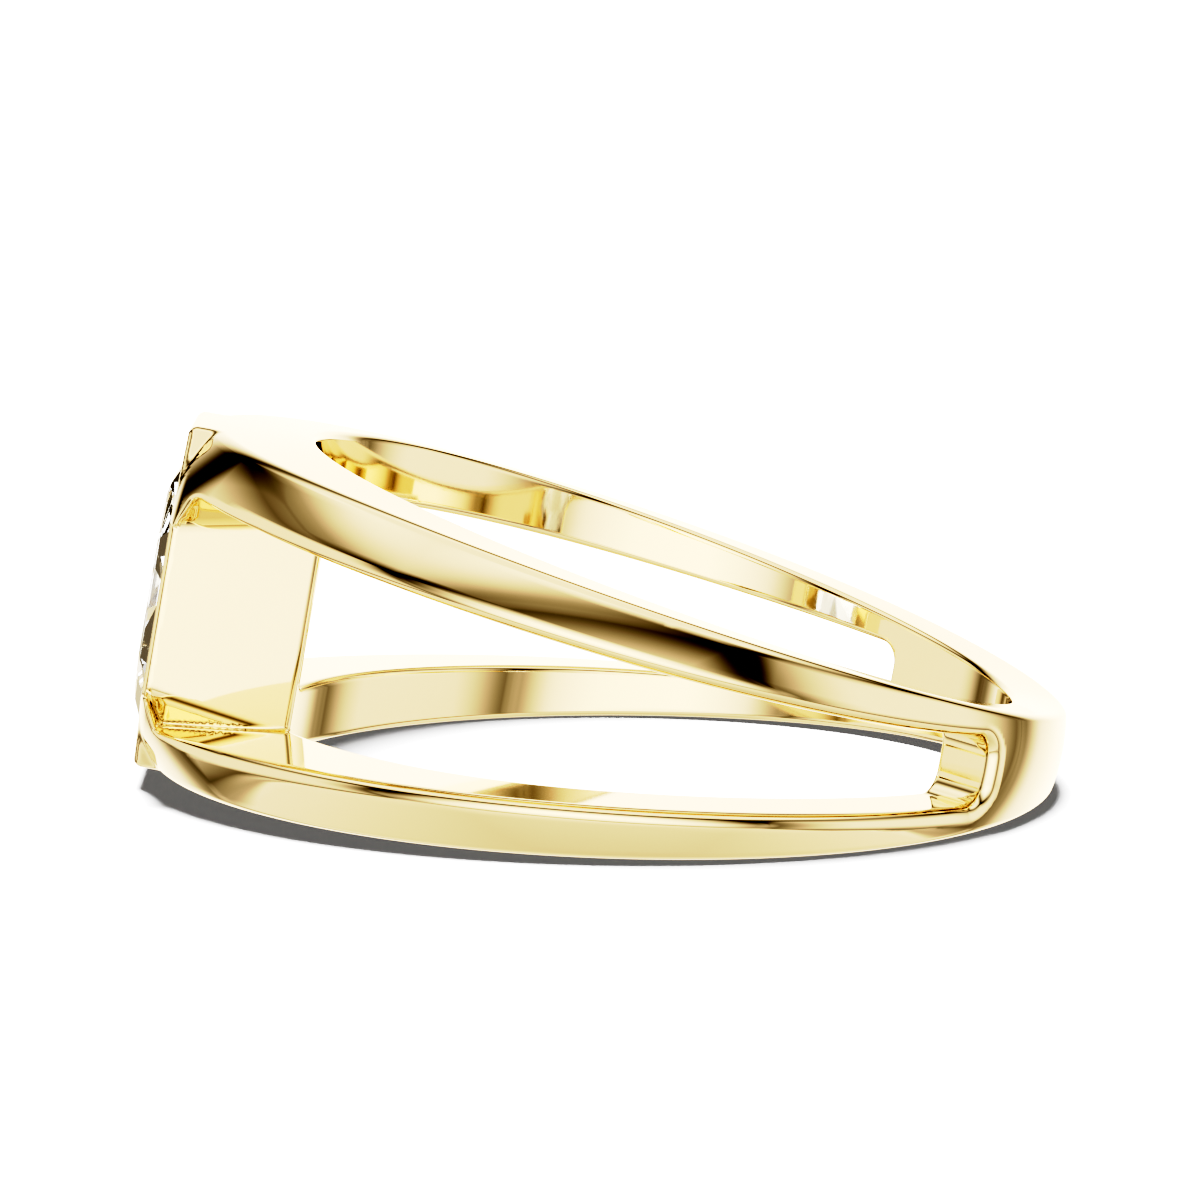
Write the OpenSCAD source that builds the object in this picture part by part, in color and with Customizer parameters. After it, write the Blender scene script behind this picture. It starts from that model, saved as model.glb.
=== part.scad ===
// Split shank ring with an octagonal setting and one step-cut stone, lying on its side.
// Sizes are millimetres. The ring is first drawn with the finger hole along Z and the stone towards -X,
// then tipped until it stands on the lower corners of its setting and on the lower edge of its band.

/* [Finger hole and band] */
// Inner diameter of the ring
finger_d = 17.3; // [15:0.1:20]
// Thickness of the band at its base, opposite the stone
base_t = 1.43; // [1.2:0.01:1.8]
// Thickness that the band gains evenly from its base to the stone
arm_gain = 1.51; // [1:0.01:2]
// Further thickness of the shoulders next to the stone
shoulder_gain = 1.41; // [1:0.01:1.8]
// Width of the band at its base, measured along the finger
base_w = 1.87; // [1.5:0.01:2.6]
// Radius of the crown across the outside of the band
crown_r = 4.55; // [4.2:0.05:6]

/* [Split] */
// Angle from the middle of the base to the end of each slot
slot_from = 41.5; // [36:0.5:50]
// Width that each slot starts from at the base end
slot_base_w = 1.1; // [0.9:0.05:1.2]
// Width of each slot where it meets the setting
slot_head_w = 5.26; // [4.6:0.05:5.6]
// Radius of the corners at the base end of each slot
slot_corner_r = 0.45; // [0.2:0.05:0.55]
// Length of the sloped corner where a slot meets the setting
nook_l = 0.45; // [0.3:0.05:0.6]
// Height of the sloped corner where a slot meets the setting
nook_h = 0.8; // [0.5:0.05:1]

/* [Setting] */
// Distance from the centre of the finger hole to the rim of the setting
rim_x = 11.6; // [11.3:0.05:12]
// Length of the setting along the finger
head_l = 8.2; // [7.8:0.05:8.6]
// Width of the setting across the finger
head_w = 7.5; // [7.3:0.05:8]
// Length of the flat side face between the cut corners
side_flat = 3.9; // [3.4:0.05:4.4]
// Width of the flat end face between the cut corners
end_flat = 3.7; // [3.2:0.05:4.2]
// Width of the ledge that carries the stone under its girdle
ledge_w = 0.95; // [0.7:0.05:1.2]

/* [Stone] */
// Length of the stone along the finger
stone_l = 6.7; // [6.2:0.05:7]
// Width of the stone across the finger
stone_w = 6.2; // [5.8:0.05:6.4]
// Length cut off each corner of the stone, along either side
stone_cut = 1.5; // [1.1:0.05:1.8]
// Height of the crown, from the girdle to the table
crown_h = 0.58; // [0.4:0.02:0.7]
// Thickness of the girdle
girdle_t = 0.08; // [0.05:0.01:0.15]
// Depth of the pavilion under the girdle
pavilion_h = 2.2; // [1.8:0.05:2.3]
// Height of the table above the rim
table_rise = 0.28; // [0.15:0.01:0.35]
// Gap between the stone and its seat
stone_gap = 0.03; // [0.02:0.01:0.05]

/* [Hidden] */
$fn = 96;

finger_r = finger_d/2;
half_base_w = base_w/2;
half_head_l = head_l/2;

// How fast the width, the slot and the shoulder grow from the base to the stone
width_power = 0.88;
slot_power = 1.45;
shoulder_power = 5;

// Stations round the band, and rows across its outside
stations = 90;
rows = 8;
corner_steps = 5;
// The solids run this far into the finger hole before the hole is cut
inner_margin = 1;
inner_r = finger_r - inner_margin;
// The slot cutter reaches this far outside the band
outer_margin = 1.5;

// Rows of the stone, from the table to the culet: inset from the girdle, as shares of the half width,
// and height, as shares of the crown above the girdle or of the pavilion below it
INSET = 0;
LEVEL = 1;
crown_rows = [[0.32, 1], [0.24, 0.9], [0.1, 0.55], [0, 0]];
pavilion_rows = [[0, 0], [0.24, 0.36], [0.55, 0.72], [0.97, 1]];
table_x = rim_x + table_rise;
girdle_x = table_x - crown_h;

// Share of the way from the base (0) to the stone (1) at an angle from the base
function share(a) = (1 - cos(a))/2;
// Half the width of the band, half the width of a slot, and the outer radius of the band
function edge_z(a) = half_base_w + (half_head_l - half_base_w)*pow(share(a), width_power);
function slot_z(a) = (slot_base_w + (slot_head_w - slot_base_w)*pow(share(a), slot_power))/2;
function crest_r(a) = finger_r + base_t + arm_gain*share(a) + shoulder_gain*pow(share(a), shoulder_power);
function skin_r(a, z) = crest_r(a) - z*z/(2*crown_r);
function at(a, r, z) = [r*cos(a), r*sin(a), z];

// The ring stands on the two lower corners of the setting beside the finger hole, and on the two points
// of the band's lower edge to which the slope from those corners is least
corner_x = -sqrt(pow(finger_r, 2) - pow(end_flat/2, 2));
function low_x(a) = cos(a)*(cos(a) > 0 ? skin_r(a, edge_z(a)) : finger_r);
function slope_to(a) = (half_head_l - edge_z(a))/(low_x(a) - corner_x);
step_angle = 360/stations;
slope_reach = 140;
tilt = atan(min([for (a = [0 : step_angle : slope_reach]) slope_to(a)]));
lift = half_head_l*cos(tilt) + corner_x*sin(tilt);

// Moves the middle of the tipped ring's length to the origin
table_half_l = stone_l/2 - crown_rows[0][0]*stone_w/2;
base_end = max([for (j = [0 : rows]) skin_r(0, row_z(0, j))*cos(tilt) + row_z(0, j)*sin(tilt)]);
head_end = max(table_x*cos(tilt) + table_half_l*sin(tilt), rim_x*cos(tilt) + half_head_l*sin(tilt));
shift = (head_end - base_end)/2;

// Triangles between successive closed sections of n points; the last section joins the first when closed
function skin_faces(count, n, closed) = [
    for (i = [0 : count - (closed ? 1 : 2)])
        for (j = [0 : n - 1])
            let (k = (i + 1) % count, m = (j + 1) % n)
                each [[i*n + j, k*n + m, i*n + m], [i*n + j, k*n + j, k*n + m]]
];

module loft(sections, closed = false) {
    count = len(sections);
    n = len(sections[0]);
    start_cap = [[for (j = [0 : n - 1]) j]];
    end_cap = [[for (j = [n - 1 : -1 : 0]) (count - 1)*n + j]];
    polyhedron(
        points = [for (s = sections) each s],
        faces = concat(skin_faces(count, n, closed), closed ? [] : concat(start_cap, end_cap)),
        convexity = 6);
}

// One section of the band: down its domed outside and back along the finger hole
function row_z(a, j) = edge_z(a)*(1 - 2*j/rows);
function band_section(a) = concat(
    [for (j = [0 : rows]) at(a, skin_r(a, row_z(a, j)), row_z(a, j))],
    [at(a, inner_r, -edge_z(a)), at(a, inner_r, edge_z(a))]
);

module domed_band() {
    loft([for (i = [0 : stations - 1]) band_section(step_angle*i)], closed = true);
}

// A slot is cut radially; its outer height may differ from its inner height
function slot_section(a, outer_z, inner_z) = [
    at(a, crest_r(a) + outer_margin, outer_z),
    at(a, crest_r(a) + outer_margin, -outer_z),
    at(a, inner_r - inner_margin, -inner_z),
    at(a, inner_r - inner_margin, inner_z)
];

// Angle at which the outside of the band reaches the side face of the setting
slot_to = 180 - asin(head_w/2/rim_x);
function arc_angle(l, a) = l/skin_r(a, slot_z(a))*180/PI;
function rounded(k) = 90*k/corner_steps;

slot_corner = [for (k = [0 : corner_steps])
    let (a = slot_from + arc_angle(slot_corner_r*(1 - cos(rounded(k))), slot_from),
         z = slot_z(a) - slot_corner_r*(1 - sin(rounded(k))))
        slot_section(a, z, z)];
slot_run_from = slot_from + arc_angle(slot_corner_r, slot_from);
slot_run_to = slot_to - arc_angle(nook_l, slot_to);
slot_run_steps = 30;
slot_run = [for (k = [1 : slot_run_steps])
    let (a = slot_run_from + (slot_run_to - slot_run_from)*k/slot_run_steps)
        slot_section(a, slot_z(a), slot_z(a))];
slot_nook = [for (k = [1 : corner_steps])
    let (a = slot_to - arc_angle(nook_l*(1 - sin(rounded(k))), slot_to))
        slot_section(a, slot_z(a) - nook_h*(1 - cos(rounded(k))), slot_z(a))];
slot_end = [let (a = (slot_to + 180)/2) slot_section(a, slot_z(a) - nook_h, slot_z(a))];

module slot() {
    loft(concat(slot_corner, slot_run, slot_nook, slot_end));
}

// An octagon: a rectangle with its four corners cut, given by half sizes and the cut along each side
function octagon(hx, hy, cut_x, cut_y) = [
    [hx, hy - cut_y], [hx - cut_x, hy], [cut_x - hx, hy], [-hx, hy - cut_y],
    [-hx, cut_y - hy], [cut_x - hx, -hy], [hx - cut_x, -hy], [hx, cut_y - hy]
];

// Extrudes a child drawn as (along the finger, across the finger) from the rim down towards the finger
module down_from(x, depth) {
    translate([depth - x, 0, 0]) rotate([0, -90, 0]) linear_extrude(depth) children();
}

module setting_block() {
    down_from(rim_x, rim_x - inner_r)
        polygon(octagon(half_head_l, head_w/2, (head_l - side_flat)/2, (head_w - end_flat)/2));
}

function stone_row(inset, x, grow) =
    let (d = inset*stone_w/2,
         cut = stone_cut*(1 - inset) + grow*(2 - sqrt(2)))
        [for (p = octagon(stone_l/2 - d + grow, stone_w/2 - d + grow, cut, cut)) [-x, -p[1], p[0]]];

// The stone's form, grown on every side; the seat is the same form with the gap added
module stone_form(grow = 0) {
    above = [for (r = crown_rows) stone_row(r[INSET], girdle_x + r[LEVEL]*crown_h + grow*r[LEVEL], grow)];
    below = [for (r = pavilion_rows)
        stone_row(r[INSET], girdle_x - girdle_t - r[LEVEL]*pavilion_h - grow, grow)];
    loft(concat(above, below));
}

// The way in over the stone and the opening for light beneath it
module seat() {
    stone_form(stone_gap);
    down_from(girdle_x, girdle_x - inner_r)
        polygon(octagon(stone_l/2 - ledge_w, stone_w/2 - ledge_w, stone_cut*0.7, stone_cut*0.7));
}

module as_it_lies() {
    translate([shift, 0, lift]) rotate([0, tilt, 0]) children();
}

module beyond_rim() {
    reach = 4*finger_r;
    translate([-rim_x - reach, -reach/2, -reach/2]) cube(reach);
}

module shank_setting() {
    color("#E3C16F") as_it_lies() difference() {
        union() {
            difference() {
                domed_band();
                beyond_rim();
                slot();
                mirror([0, 1, 0]) slot();
            }
            setting_block();
        }
        cylinder(h = 2*head_l, r = finger_r, center = true);
        seat();
    }
}

module stone() {
    color("#EEF4F8") as_it_lies() stone_form();
}

shank_setting();
stone();
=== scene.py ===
import math

import bpy
import numpy as np
from mathutils import Matrix, Vector


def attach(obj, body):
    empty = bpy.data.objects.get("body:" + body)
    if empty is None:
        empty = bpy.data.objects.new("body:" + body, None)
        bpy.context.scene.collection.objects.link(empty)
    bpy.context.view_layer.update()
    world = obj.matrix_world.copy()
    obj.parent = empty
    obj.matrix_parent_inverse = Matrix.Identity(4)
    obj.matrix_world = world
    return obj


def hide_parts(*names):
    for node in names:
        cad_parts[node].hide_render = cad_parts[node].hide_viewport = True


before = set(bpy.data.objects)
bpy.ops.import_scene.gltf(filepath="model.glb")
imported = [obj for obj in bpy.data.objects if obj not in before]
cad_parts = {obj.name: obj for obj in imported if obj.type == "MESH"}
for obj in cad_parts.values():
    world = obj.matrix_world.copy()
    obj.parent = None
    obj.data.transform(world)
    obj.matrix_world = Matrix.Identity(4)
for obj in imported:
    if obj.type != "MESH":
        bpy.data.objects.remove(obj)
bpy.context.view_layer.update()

MM = 0.001

# The ring's own frame, as in the CAD source: finger hole along Z, stone towards -X, sizes in millimetres.
# An X in a name is a distance from the hole's axis towards the stone. Angles start at the ring's base.

# The band: the radius of the finger hole, its thickness at the base, and what arms and shoulders add to that
FINGER_R = 8.65
BASE_T, ARM_GAIN, SHOULDER_GAIN, SHOULDER_POWER = 1.43, 1.51, 1.41, 5
# Half its width at the base and at the setting, how late it widens, and the radius of its domed outside
HALF_BASE_W, HALF_HEAD_L, WIDTH_POWER, DOME_R = 0.935, 4.1, 0.88, 4.55

# The slots: where they start, their widths if carried on to the base and to the setting, how late they widen,
# and the radius of the corners at the end where they start
SLOT_FROM = math.radians(41.5)
SLOT_BASE_W, SLOT_HEAD_W, SLOT_POWER, SLOT_CORNER_R = 1.38, 5.66, 1.45, 0.5
# Close to the setting each wall of a slot flares out by this much more
SLOT_FLARE, FLARE_POWER = 0.2, 20
# They narrow towards the finger hole, most beside the setting: by this much for each millimetre of depth
SLOT_DRAFT = 0.12
# Beside the rim a slanted wall closes them in: where it starts at the end of a side flat, how far it drops
# over what run, and the radius of the corners it makes
NOOK_X, NOOK_DROP, NOOK_RUN, NOOK_R = 11.46, 0.45, 0.95, 0.1

# The octagonal setting: its rim, half its width, and half the length of its side flats and end flats
RIM_X, HALF_HEAD_W, HALF_SIDE_FLAT, HALF_END_FLAT = 11.6, 3.75, 1.95, 1.85
# As a block it starts inside the finger hole, which is then cut out of it
HEAD_FROM_X = 6.5
# Its side faces lean in by this much for each millimetre below the rim
PLATE_LEAN = 0.16
# The seat narrows by this much for each millimetre of depth, and its depth field is scaled to match the slope
SEAT_SLOPE, SEAT_SCALE = 0.9, 0.74
# The ledge under the stone, and the cut corners of the opening for light as a share of the stone's
LEDGE_W, LIGHT_CUT_SHARE = 0.95, 0.7

# The stone: half its length and width, what is cut off along each side of a corner, and the gap round it
STONE_HALF_L, STONE_HALF_W, STONE_CUT, STONE_GAP = 3.35, 3.1, 1.5, 0.03
CROWN_H, GIRDLE_T, PAVILION_H, TABLE_RISE = 0.58, 0.08, 2.2, 0.28
GIRDLE_X = RIM_X + TABLE_RISE - CROWN_H
# Its rows of corners, downwards: how far in, as a share of its half width, and how high in the crown or how deep
# in the pavilion, as a share of that part's height
CROWN_ROWS = [(0.32, 1), (0.24, 0.9), (0.1, 0.55), (0, 0)]
PAVILION_ROWS = [(0, 0), (0.24, 0.36), (0.55, 0.72), (0.97, 1)]

# Roundings of the polished casting: the edges of the band and of the finger hole, the setting's upright edges,
# the joint between band and setting, and the lip of the seat
EDGE_R, PLATE_R, JOIN_R, LIP_R = 0.15, 0.14, 0.1, 0.1
# The slots' edges along the band and beside the rim, and where the one starts to turn into the other
SLOT_EDGE_R, NOOK_EDGE_R, SHARPER_FROM_X = 0.36, 0.12, 9.5
# The rim's edge along its sides and at its ends
RIM_R, END_R = 0.19, 0.22

# How the ring lies, as the CAD source works it out
TILT = math.radians(9.390645)
LIFT, SHIFT = 2.666336, 1.053751


def share(a):
    """0 at the ring's base, 1 at the middle of the setting."""
    return (1 - np.cos(a)) / 2


def edge_z(a):
    """Half the width of the band."""
    return HALF_BASE_W + (HALF_HEAD_L - HALF_BASE_W) * share(a) ** WIDTH_POWER


def slot_z(a):
    """Half the width of a slot at the crest of the band."""
    widening = (SLOT_HEAD_W - SLOT_BASE_W) * share(a) ** SLOT_POWER
    return (SLOT_BASE_W + widening) / 2 + SLOT_FLARE * share(a) ** FLARE_POWER


def crest_r(a):
    """From the hole's axis to the crest of the band."""
    s = share(a)
    return FINGER_R + BASE_T + ARM_GAIN * s + SHOULDER_GAIN * s ** SHOULDER_POWER


def slot_side(a, rho):
    """Half the width of a slot at a distance from the hole's axis."""
    return slot_z(a) - SLOT_DRAFT * share(a) ** 2 * (crest_r(a) - rho)


ANGLE_STEP = 1e-3


def steepness(line, a, rho):
    """How steeply a line of the ring climbs as it goes round, at a distance from the hole's axis."""
    return (line(a + ANGLE_STEP) - line(a - ANGLE_STEP)) / (2 * ANGLE_STEP) / rho


# Depth fields are negative inside and positive outside. An edge that two of them make is rounded to r.

def both(a, b, r=0.0):
    return np.minimum(np.maximum(a, b), -r) + np.hypot(np.maximum(a + r, 0), np.maximum(b + r, 0))


def either(a, b, r):
    return -both(-a, -b, r)


def without(a, b, r):
    return both(a, -b, r)


def octagon_field(across, along, half_w, half_l, cut):
    """Octagonal outline: half sizes, and the length cut off along each side of a corner."""
    walls = both(across - half_w, along - half_l)
    corner = (across + along - (half_w + half_l - cut)) / math.sqrt(2)
    return both(walls, corner)


def band_field(a, rho, z):
    """The domed band without its hole and without its slots."""
    slope = steepness(crest_r, a, rho)
    bend = z / DOME_R
    return (rho - crest_r(a) + z * z / (2 * DOME_R)) / np.sqrt(1 + slope ** 2 + bend ** 2)


def slot_field(x, a, rho, along):
    """Negative in a slot, which a slanted wall closes in beside the rim."""
    side = (along - slot_side(a, rho)) / np.sqrt(1 + steepness(slot_z, a, rho) ** 2)
    past_flat = along - HALF_SIDE_FLAT
    nook = ((-x - NOOK_X) * NOOK_RUN + past_flat * NOOK_DROP) / math.hypot(NOOK_DROP, NOOK_RUN)
    nook = either(nook, past_flat, NOOK_R)
    return both(both(side, (SLOT_FROM - a) * rho, SLOT_CORNER_R), nook, NOOK_R)


def setting_field(x, across, along):
    """The walls of the setting's octagonal block. The rim and the band's edges cut it off later."""
    run, rise = HALF_HEAD_W - HALF_END_FLAT, HALF_HEAD_L - HALF_SIDE_FLAT
    corner = (across * rise + along * run - (HALF_HEAD_W * rise + HALF_SIDE_FLAT * run)) / math.hypot(run, rise)
    plate = (across - HALF_HEAD_W + PLATE_LEAN * (x + RIM_X)) / math.hypot(1, PLATE_LEAN)
    return both(both(plate, corner, PLATE_R), x + HEAD_FROM_X)


def seat_field(x, across, along):
    """Negative in the seat of the stone and in the opening for light beneath it."""
    inset = SEAT_SLOPE * np.maximum(x + GIRDLE_X - GIRDLE_T, 0)
    seat = SEAT_SCALE * octagon_field(across + inset, along + inset, STONE_HALF_W + STONE_GAP,
                                      STONE_HALF_L + STONE_GAP, STONE_CUT)
    light = octagon_field(across, along, STONE_HALF_W - LEDGE_W, STONE_HALF_L - LEDGE_W,
                          STONE_CUT * LIGHT_CUT_SHARE)
    return both(np.minimum(seat, light), x + FINGER_R / 2)


def ring_field(x, y, z):
    """The whole casting: band, split shoulders and setting."""
    rho, a = np.hypot(x, y), np.arctan2(np.abs(y), x)
    across, along = np.abs(y), np.abs(z)
    towards_head = np.clip((-x - SHARPER_FROM_X) / (NOOK_X - SHARPER_FROM_X), 0, 1)
    slot_edge_r = SLOT_EDGE_R + (NOOK_EDGE_R - SLOT_EDGE_R) * towards_head
    band = without(band_field(a, rho, z), slot_field(x, a, rho, along), slot_edge_r)
    body = either(band, setting_field(x, across, along), JOIN_R)
    body = both(body, (along - edge_z(a)) / np.sqrt(1 + steepness(edge_z, a, rho) ** 2), EDGE_R)
    towards_end = np.clip((along - HALF_SIDE_FLAT) / (HALF_HEAD_L - HALF_SIDE_FLAT), 0, 1)
    body = both(body, -x - RIM_X, RIM_R + (END_R - RIM_R) * towards_end)
    body = without(body, seat_field(x, across, along), LIP_R)
    return both(body, FINGER_R - rho, EDGE_R)


def graded(ends, steps):
    """Places along an axis, at the given step within each stretch between the ends."""
    stretches = zip(ends, ends[1:], steps)
    runs = [np.linspace(a, b, round((b - a) / step), endpoint=False) for a, b, step in stretches]
    return np.concatenate(runs + [ends[-1:]])


def mirrored(half):
    """The places of a half axis from zero, and the same on its other side."""
    return np.concatenate([-half[:0:-1], half])


def round_the_ring(depth, a, row):
    """A point of a grid that follows the ring.

    Depth is 0 at the finger hole and 1 at the domed outside. Row is 0 in the middle of the band, 1 at the side
    of the slot and 2 at the edge of the band.
    """
    away = np.abs(a)
    crest, edge = crest_r(away), edge_z(away)
    side = slot_side(away, FINGER_R + depth * (crest - FINGER_R))
    along = np.where(np.abs(row) < 1, np.abs(row) * side, side + (np.abs(row) - 1) * (edge - side))
    rho = FINGER_R + depth * (crest - along ** 2 / (2 * DOME_R) - FINGER_R)
    return rho * np.cos(a), rho * np.sin(a), np.sign(row) * along


PROBE_STEP = 2e-3


def field_slope(field, p):
    g = np.empty_like(p)
    for k in range(3):
        d = np.zeros(3)
        d[k] = PROBE_STEP
        g[:, k] = (field(*(p + d).T) - field(*(p - d).T)) / (2 * PROBE_STEP)
    return g


# Points settle onto the surface in this many moves, each up to this far along an axis. Where the field is
# nearly level, its slope squared counts as at least this much.
SETTLING_MOVES, LONGEST_MOVE, LEAST_SLOPE_SQUARED = 5, 0.05, 0.25


def skin_over(field, place, axes, loop):
    """A closed skin over a depth field: a point in each cell that the surface crosses, a quad per crossed edge.

    The axes follow the ring, and place gives the point for a value on each. The axis numbered loop closes on
    itself.
    """
    shape = [len(v) for v in axes]
    values = field(*place(*np.meshgrid(*axes, indexing="ij")))
    inside = values < 0
    cells = [n - 1 for n in shape]
    corners = [(i, j, k) for i in (0, 1) for j in (0, 1) for k in (0, 1)]

    def at_corner(grid, c):
        return grid[c[0]:c[0] + cells[0], c[1]:c[1] + cells[1], c[2]:c[2] + cells[2]]

    count = sum(at_corner(inside, c).astype(np.uint8) for c in corners)
    crossed = np.argwhere((count > 0) & (count < len(corners)))
    number = np.full(cells, -1, np.int64)
    number[tuple(crossed.T)] = np.arange(len(crossed))

    # Each point starts at the mean of the places where the edges of its cell are crossed
    total, hits = np.zeros((len(crossed), 3)), np.zeros(len(crossed))
    for c in corners:
        for k in range(3):
            if c[k]:
                continue
            d = tuple(v + (n == k) for n, v in enumerate(c))
            v0 = at_corner(values, c)[tuple(crossed.T)]
            v1 = at_corner(values, d)[tuple(crossed.T)]
            cut = (v0 < 0) != (v1 < 0)
            t = np.where(cut, v0 / np.where(cut, v0 - v1, 1), 0)
            spot = np.tile(np.array(c, float), (len(crossed), 1))
            spot[:, k] += t
            total[cut] += spot[cut]
            hits[cut] += 1
    share_in_cell = total / hits[:, None]
    spots = [v[i] + f * (v[i + 1] - v[i]) for v, i, f in zip(axes, crossed.T, share_in_cell.T)]
    points = np.stack(place(*spots), 1)
    for _ in range(SETTLING_MOVES):
        g = field_slope(field, points)
        size = np.maximum((g ** 2).sum(1), LEAST_SLOPE_SQUARED)
        move = g * (field(*points.T) / size)[:, None]
        points -= np.clip(move, -LONGEST_MOVE, LONGEST_MOVE)
    normals = field_slope(field, points)
    normals /= np.linalg.norm(normals, axis=1)[:, None]

    # Each crossed edge of the grid joins the points of the four cells round it
    faces = []
    for k in range(3):
        u, v = (k + 1) % 3, (k + 2) % 3
        ahead = [slice(None)] * 3
        ahead[k] = slice(1, None)
        here = [slice(None)] * 3
        here[k] = slice(None, -1)
        where = np.argwhere(inside[tuple(here)] != inside[tuple(ahead)])
        for n in (u, v):
            first = -1 if n == loop else 0
            where = where[(where[:, n] > first) & (where[:, n] < shape[n] - 1)]
        quad = []
        for du, dv in ((-1, -1), (0, -1), (0, 0), (-1, 0)):
            cell = where.copy()
            cell[:, u] += du
            cell[:, v] += dv
            quad.append(number[tuple(cell.T)])
        quad = np.stack(quad, 1)
        out = inside[tuple(where.T)]
        quad[~out] = quad[~out][:, ::-1]
        faces.append(quad)
    return points, normals, np.concatenate(faces)


def laid_down(p):
    """From the ring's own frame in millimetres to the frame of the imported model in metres."""
    c, s = math.cos(TILT), math.sin(TILT)
    x, y, z = p[..., 0], p[..., 1], p[..., 2]
    return np.stack([x * c + z * s + SHIFT, y, z * c - x * s + LIFT], -1) * MM


def new_mesh(name, points, faces):
    mesh = bpy.data.meshes.new(name)
    mesh.from_pydata([tuple(p) for p in points], [], [tuple(int(i) for i in f) for f in faces])
    mesh.validate()
    mesh.update()
    obj = bpy.data.objects.new(name, mesh)
    bpy.context.scene.collection.objects.link(obj)
    return obj


class Shade:
    """A socket that takes part in sums, so that a mask reads as an expression."""

    def __init__(self, tree, socket):
        self.tree, self.socket = tree, socket

    def maths(self, operation, *terms):
        values = [t.socket if isinstance(t, Shade) else t for t in terms]
        return self.tree.node("ShaderNodeMath", {"operation": operation}, dict(enumerate(values)))

    def __add__(self, other):
        return self.maths("ADD", self, other)

    def __sub__(self, other):
        return self.maths("SUBTRACT", self, other)

    def __rsub__(self, other):
        return self.maths("SUBTRACT", other, self)

    def __mul__(self, other):
        return self.maths("MULTIPLY", self, other)

    def __truediv__(self, other):
        return self.maths("DIVIDE", self, other)

    def __pow__(self, other):
        return self.maths("POWER", self, other)

    __radd__, __rmul__ = __add__, __mul__

    def at_least(self, other):
        return self.maths("MAXIMUM", self, other)

    def at_most(self, other):
        return self.maths("MINIMUM", self, other)


class Tree:
    """The nodes of a material or of the world."""

    def __init__(self, owner):
        owner.use_nodes = True
        self.nodes, self.links = owner.node_tree.nodes, owner.node_tree.links
        self.nodes.clear()

    def node(self, kind, settings=None, inputs=None, out=0):
        made = self.nodes.new(kind)
        for name, value in (settings or {}).items():
            setattr(made, name, value)
        for name, value in (inputs or {}).items():
            socket = value.socket if isinstance(value, Shade) else value
            if isinstance(socket, bpy.types.NodeSocket):
                self.links.new(socket, made.inputs[name])
            else:
                made.inputs[name].default_value = socket
        return Shade(self, made.outputs[out]) if len(made.outputs) else None

    def clouds(self, scale, detail):
        """Soft blotches from 0 to 1 that are fixed to the piece."""
        place = self.node("ShaderNodeTexCoord", out="Object")
        return self.node("ShaderNodeTexNoise", {}, {"Vector": place, "Scale": scale, "Detail": detail})

    def between(self, factor, first, second):
        """A colour between two. A colour Mix has them on its sockets 6 and 7, and its result on socket 2."""
        return self.node("ShaderNodeMix", {"data_type": "RGBA"}, {"Factor": factor, 6: first, 7: second}, out=2)

    def surface(self, inputs):
        shader = self.node("ShaderNodeBsdfPrincipled", {}, inputs)
        self.node("ShaderNodeOutputMaterial", {}, {"Surface": shader})


# Polished gold: its two tones, how many of its faint blotches and of its fine marks there are to a metre, how
# rough it is, what each of them adds to that, and the marks' depth in metres and how strongly they show
GOLD_TONES = (0.95, 0.83, 0.62, 1), (0.965, 0.85, 0.65, 1)
BLOTCH_SCALE, MARK_SCALE = 420.0, 5200.0
POLISH, BLOTCH_ROUGHNESS, MARK_ROUGHNESS = 0.028, 0.012, 0.01
MARK_DEPTH, MARK_STRENGTH = 2e-6, 0.02


def gold_finish():
    material = bpy.data.materials.new("polished_yellow_gold")
    tree = Tree(material)
    blotches, marks = tree.clouds(BLOTCH_SCALE, 3.0), tree.clouds(MARK_SCALE, 2.0)
    bump = tree.node("ShaderNodeBump", {}, {
        "Strength": MARK_STRENGTH, "Distance": MARK_DEPTH, "Height": marks})
    tree.surface({
        "Base Color": tree.between(blotches, *GOLD_TONES), "Metallic": 1.0, "Normal": bump,
        "Roughness": POLISH + blotches * BLOTCH_ROUGHNESS + marks * MARK_ROUGHNESS})
    return material


# Clear diamond: its two tones, how fine the faint haze of its polish is, and how rough that makes it
DIAMOND_TONES = (0.9, 0.95, 1.0, 1), (0.95, 0.98, 1.0, 1)
HAZE_SCALE, HAZE_ROUGHNESS = 300.0, 0.004
DIAMOND_IOR = 2.42


def diamond_finish():
    material = bpy.data.materials.new("clear_diamond")
    tree = Tree(material)
    haze = tree.clouds(HAZE_SCALE, 2.0)
    tree.surface({
        "Base Color": tree.between(haze, *DIAMOND_TONES), "Roughness": haze * HAZE_ROUGHNESS,
        "IOR": DIAMOND_IOR, "Transmission Weight": 1.0})
    return material


# The casting: band, split shoulders and octagonal setting in one piece. For each axis of its grid: the ends of
# its stretches and the step within each, finest where the form turns most. Angles are in degrees.
DEPTH_ENDS, DEPTH_STEPS = [-0.045, 0.135, 0.6, 0.93, 1.07, 1.43], [0.03, 0.05, 0.033, 0.02, 0.036]
ANGLE_ENDS, ANGLE_STEPS = [0, 37, 48, 130, 155, 165, 180], [2, 0.55, 1.14, 0.7, 0.35, 0.6]
ROW_ENDS, ROW_STEPS = [0, 0.65, 0.91, 1.09, 1.925, 2.105, 2.17], [0.065, 0.026, 0.02, 0.0835, 0.03, 0.04]

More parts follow.
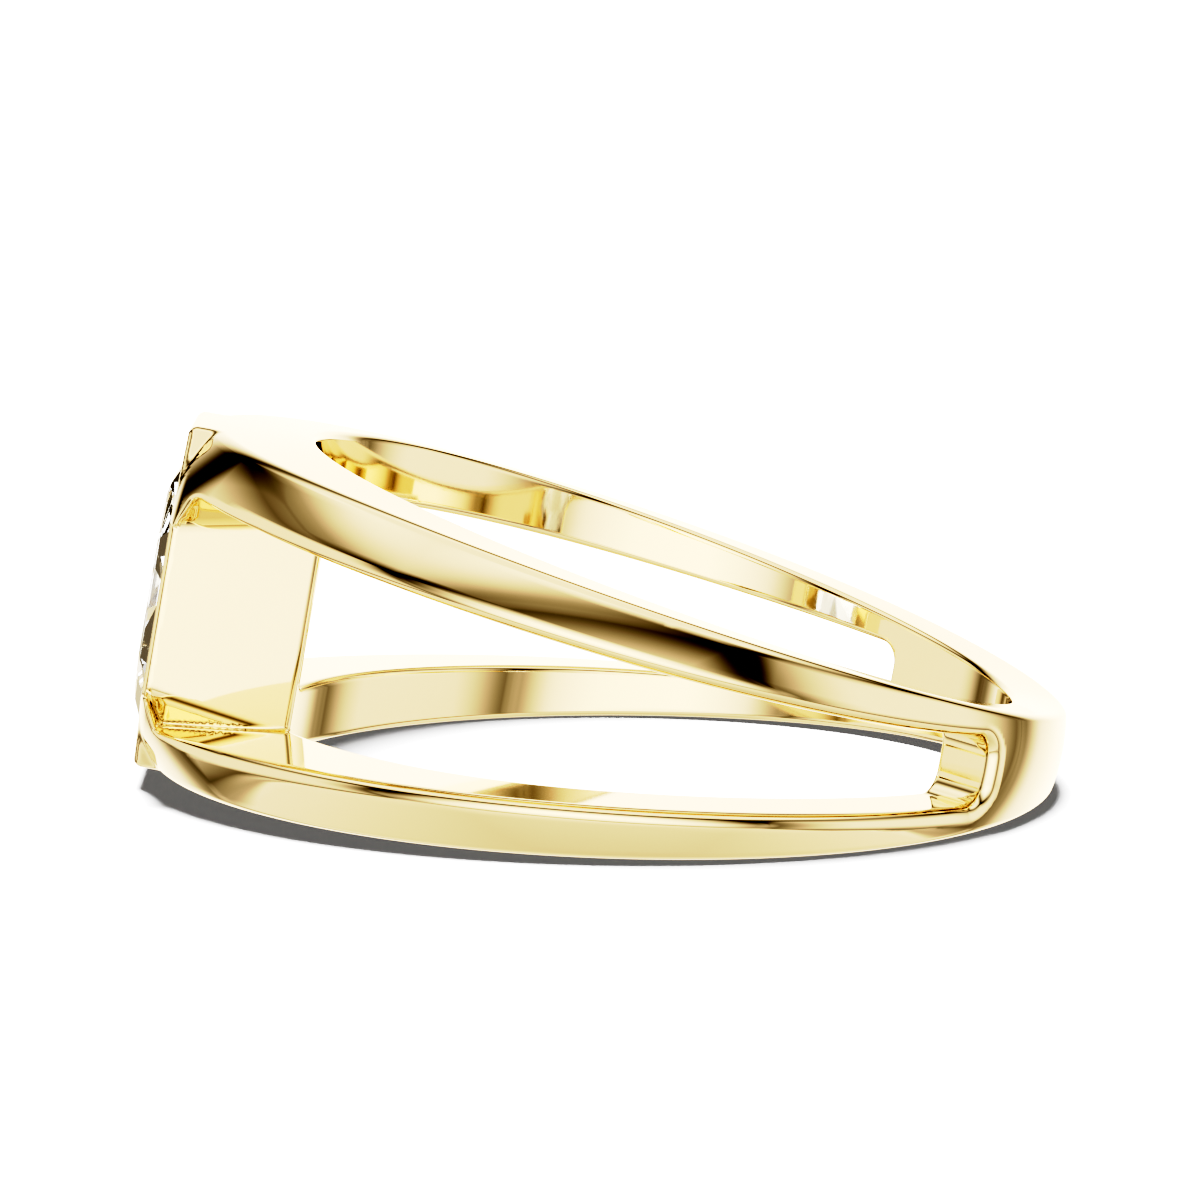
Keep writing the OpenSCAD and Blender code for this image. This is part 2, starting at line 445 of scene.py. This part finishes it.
longer = 1
depths = graded(DEPTH_ENDS, np.array(DEPTH_STEPS) * longer)
angles = mirrored(np.radians(graded(ANGLE_ENDS, np.array(ANGLE_STEPS) * longer)))
rows = mirrored(graded(ROW_ENDS, np.array(ROW_STEPS) * longer))
points, normals, faces = skin_over(ring_field, round_the_ring, (depths, angles, rows), loop=1)
casting = new_mesh("shank_and_setting", laid_down(points), faces)
casting_normals = laid_down(normals) - laid_down(np.zeros(3))
casting_normals /= np.linalg.norm(casting_normals, axis=1)[:, None]
casting.data.shade_smooth()
casting.data.normals_split_custom_set_from_vertices([tuple(n) for n in casting_normals])
casting.data.materials.append(gold_finish())
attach(casting, "root")
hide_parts("shank_setting")


def octagon(half_l, half_w, cut):
    return [(half_l, half_w - cut), (half_l - cut, half_w), (cut - half_l, half_w), (-half_l, half_w - cut),
            (-half_l, cut - half_w), (cut - half_l, -half_w), (half_l - cut, -half_w), (half_l, cut - half_w)]


def step_cut():
    """The stone's corners, row by row from the table down, and its flat faces, which look outwards."""
    levels = [(inset, GIRDLE_X + height * CROWN_H) for inset, height in CROWN_ROWS]
    levels += [(inset, GIRDLE_X - GIRDLE_T - depth * PAVILION_H) for inset, depth in PAVILION_ROWS]
    corners = []
    for inset, level in levels:
        d = inset * STONE_HALF_W
        outline = octagon(STONE_HALF_L - d, STONE_HALF_W - d, STONE_CUT * (1 - inset))
        corners += [(-level, -across, along) for along, across in outline]
    sides = len(outline)
    facets = []
    for upper in range(0, len(corners) - sides, sides):
        lower = upper + sides
        for j in range(sides):
            k = (j + 1) % sides
            facets.append((upper + j, upper + k, lower + k, lower + j))
    table = tuple(reversed(range(sides)))
    culet = tuple(range(len(corners) - sides, len(corners)))
    return np.array(corners, float), facets + [table, culet]


stone_corners, stone_facets = step_cut()
stone = new_mesh("step_cut_stone", laid_down(stone_corners), stone_facets)
stone.data.materials.append(diamond_finish())
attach(stone, "root")
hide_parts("stone")

# The floor. The ring throws no bounced light on it, so that the shadow stays grey, and reflections see the
# tent's low panel in its place.
FLOOR_REACH, FLOOR_TONE = 2, 0.9

floor_corners = [(x * FLOOR_REACH, y * FLOOR_REACH, 0) for x, y in ((-1, -1), (1, -1), (1, 1), (-1, 1))]
floor = new_mesh("floor", floor_corners, [(0, 1, 2, 3)])
floor_material = bpy.data.materials.new("pale_floor")
Tree(floor_material).surface({
    "Base Color": (FLOOR_TONE, FLOOR_TONE, FLOOR_TONE, 1), "Roughness": 0.9, "Specular IOR Level": 0.1})
floor.data.materials.append(floor_material)
floor.visible_glossy = False
casting.visible_diffuse = False
stone.visible_diffuse = False

# The light tent: its turn in degrees, and how far off each panel is, compared with the others
TENT_TURN = (3.9, -1.4, 8.5)
TENT_HALF = {"left": 0.94, "right": 1.01, "front": 0.94, "back": 0.86, "low": 0.82, "high": 1.0}
# For each panel: its light at the border and in the middle, how far in the middle's light is reached, and how
# far in the dark of its seams ends
TENT_LIGHT = {
    "left": (0.15, 2.15, 0.48, 0.02),
    "right": (0.35, 2.4, 0.7, 0.02),
    "front": (1.8, 4.5, 0.44, 1.05),
    "back": (1.2, 4.8, 0.4, 0.95),
    "low": (2.2, 1.4, 1.0, 0.025),
    "high": (4.6, 2.4, 0.67, 0.5),
}
# How abruptly one panel gives way to the next
PANEL_SHARPNESS = 14
# Near a corner of the tent the dark of the seams is wider: how soon and how steeply that ends, how much wider it
# is low down, and what is added to that high up
CORNER_FADE, CORNER_POWER = 1.17, 1.5
CORNER_DARK, CORNER_DARK_ABOVE = 0.22, 0.3
# The share of its light that a panel keeps in its seams away from the corners, and what is added low down
SEAM_LIGHT, SEAM_LIGHT_BELOW = 0.1, 0.36
# What turns the upward part of a way into a share that is 0 low down and 1 high up
ABOVE_SLOPE, ABOVE_OFFSET = 2, 0.5
# The tent is warm. The floor gets less of it than reflections do, what has passed the stone gets some even light
# beside it, and both see it without the warmth. The camera sees plain white.
WARM, NEUTRAL = (1.0, 0.86, 0.64, 1), (1, 1, 1, 1)
FLOOR_DIMMING, STONE_EXTRA, BACKDROP = 0.78, 1.1, 8


def soft_step(value):
    """Up from 0 to 1, easing in and out. The value isn't below 0."""
    part = value.at_most(1.0)
    return part * part * (3 - part * 2)


def light_tent(tree):
    """Six soft panels round the ring, dark where one panel ends and the next begins."""
    way = tree.node("ShaderNodeTexCoord", out="Generated")
    turned_way = tree.node("ShaderNodeVectorRotate", {"rotation_type": "EULER_XYZ"},
                           {"Vector": way, "Rotation": tuple(math.radians(v) for v in TENT_TURN)})
    x, y, z = (tree.node("ShaderNodeSeparateXYZ", {}, {"Vector": turned_way}, out=k) for k in range(3))
    reach = {side: part * (sign / TENT_HALF[side]) for side, part, sign in (
        ("left", x, -1), ("right", x, 1), ("front", y, -1), ("back", y, 1), ("low", z, -1), ("high", z, 1))}
    across = reach["left"].at_least(reach["right"])
    along = reach["front"].at_least(reach["back"])
    upright = reach["low"].at_least(reach["high"])
    most = across.at_least(along).at_least(upright)
    least = across.at_most(along).at_most(upright)
    middle = across + along + upright - most - least
    to_seam = 1 - middle / most
    to_corner = 1 - least / most
    near_corner = (1 - to_corner * CORNER_FADE).at_least(0.0) ** CORNER_POWER
    above = soft_step((z * ABOVE_SLOPE + ABOVE_OFFSET).at_least(0.0))
    left_in_seam = SEAM_LIGHT * soft_step(to_corner) + SEAM_LIGHT_BELOW * (1 - above)
    corner_dark = CORNER_DARK + above * CORNER_DARK_ABOVE
    light = 0.0
    for side, (border, centre, spread, margin) in TENT_LIGHT.items():
        facing = (1 - (most - reach[side]) * PANEL_SHARPNESS).at_least(0.0)
        clear_of_seam = soft_step(to_seam / (margin + near_corner * corner_dark))
        panel = border + soft_step(to_seam / spread) * (centre - border)
        light = light + facing * panel * (left_in_seam + clear_of_seam * (1 - left_in_seam))
    return light


world = bpy.data.worlds.new("studio")
bpy.context.scene.world = world
studio = Tree(world)
tent = light_tent(studio)
camera_ray, diffuse_ray, through_stone = (studio.node("ShaderNodeLightPath", out=name) for name in (
    "Is Camera Ray", "Is Diffuse Ray", "Is Transmission Ray"))
seen_light = tent * (1 - diffuse_ray * FLOOR_DIMMING) + through_stone * STONE_EXTRA
studio.node("ShaderNodeOutputWorld", {}, {"Surface": studio.node("ShaderNodeBackground", {}, {
    "Color": studio.between(diffuse_ray + through_stone, WARM, NEUTRAL),
    "Strength": seen_light * (1 - camera_ray) + camera_ray * BACKDROP})})

# A wide soft sun, which whitens the floor and gives the shadow: its strength, and its width and lean in degrees
SUN_ENERGY, SUN_WIDTH, SUN_LEAN = 24, 22, (-3, -4, 0)

overhead = bpy.data.objects.new("overhead_light", bpy.data.lights.new("overhead_light", "SUN"))
overhead.data.energy, overhead.data.angle = SUN_ENERGY, math.radians(SUN_WIDTH)
overhead.rotation_euler = [math.radians(v) for v in SUN_LEAN]
overhead.visible_glossy = False
overhead.visible_transmission = False
bpy.context.scene.collection.objects.link(overhead)

# The camera fitted to the photograph: its focal length in the photograph's pixels, how it sees the ring's own
# frame, in degrees, and where the middle of the finger hole lies from it, in millimetres
PHOTO_WIDTH, FOCAL_LENGTH, SENSOR_WIDTH = 1200, 4531, 36
SEEN_X, SEEN_Z, SEEN_Y = 8.19, 1.87, 10.18
RING_FROM_CAMERA = (1.10, 108.2, -1.644)


def turn(axis, degrees):
    return Matrix.Rotation(math.radians(degrees), 3, axis)


seen = turn("X", SEEN_X) @ turn("Z", SEEN_Z) @ turn("Y", SEEN_Y)
lies = turn("Y", math.degrees(TILT))
eye = lies @ (-(seen.transposed() @ Vector(RING_FROM_CAMERA))) + Vector((SHIFT, 0, LIFT))
look = lies @ seen.transposed() @ Matrix(((1, 0, 0), (0, 0, -1), (0, 1, 0)))
camera_data = bpy.data.cameras.new("camera")
camera_data.lens, camera_data.sensor_width = FOCAL_LENGTH / PHOTO_WIDTH * SENSOR_WIDTH, SENSOR_WIDTH
camera_data.clip_start, camera_data.clip_end = 0.005, 20
camera = bpy.data.objects.new("camera", camera_data)
camera.matrix_world = Matrix.Translation(eye * MM) @ look.to_4x4()
bpy.context.scene.collection.objects.link(camera)
bpy.context.scene.camera = camera

# The photograph's contrast: deep darks, and highlights that turn white slowly. Each pair is light and tone.
BRIGHTEST = 4.0
TONE_CURVE = (0.1, 0.0), (0.25, 0.04), (0.42, 0.155), (0.8, 0.45), (1.05, 0.63), (1.6, 0.79), (2.4, 0.9)

view = bpy.context.scene.view_settings
view.view_transform = "Standard"
view.use_curve_mapping = True
curves = view.curve_mapping
curves.clip_max_x, curves.clip_max_y = BRIGHTEST, 1.0
tone = curves.curves[3]
tone.points[-1].location = (BRIGHTEST, 1.0)
for light_in, light_out in TONE_CURVE:
    tone.points.new(light_in, light_out)
for point in tone.points:
    point.handle_type = "AUTO_CLAMPED"
curves.update()
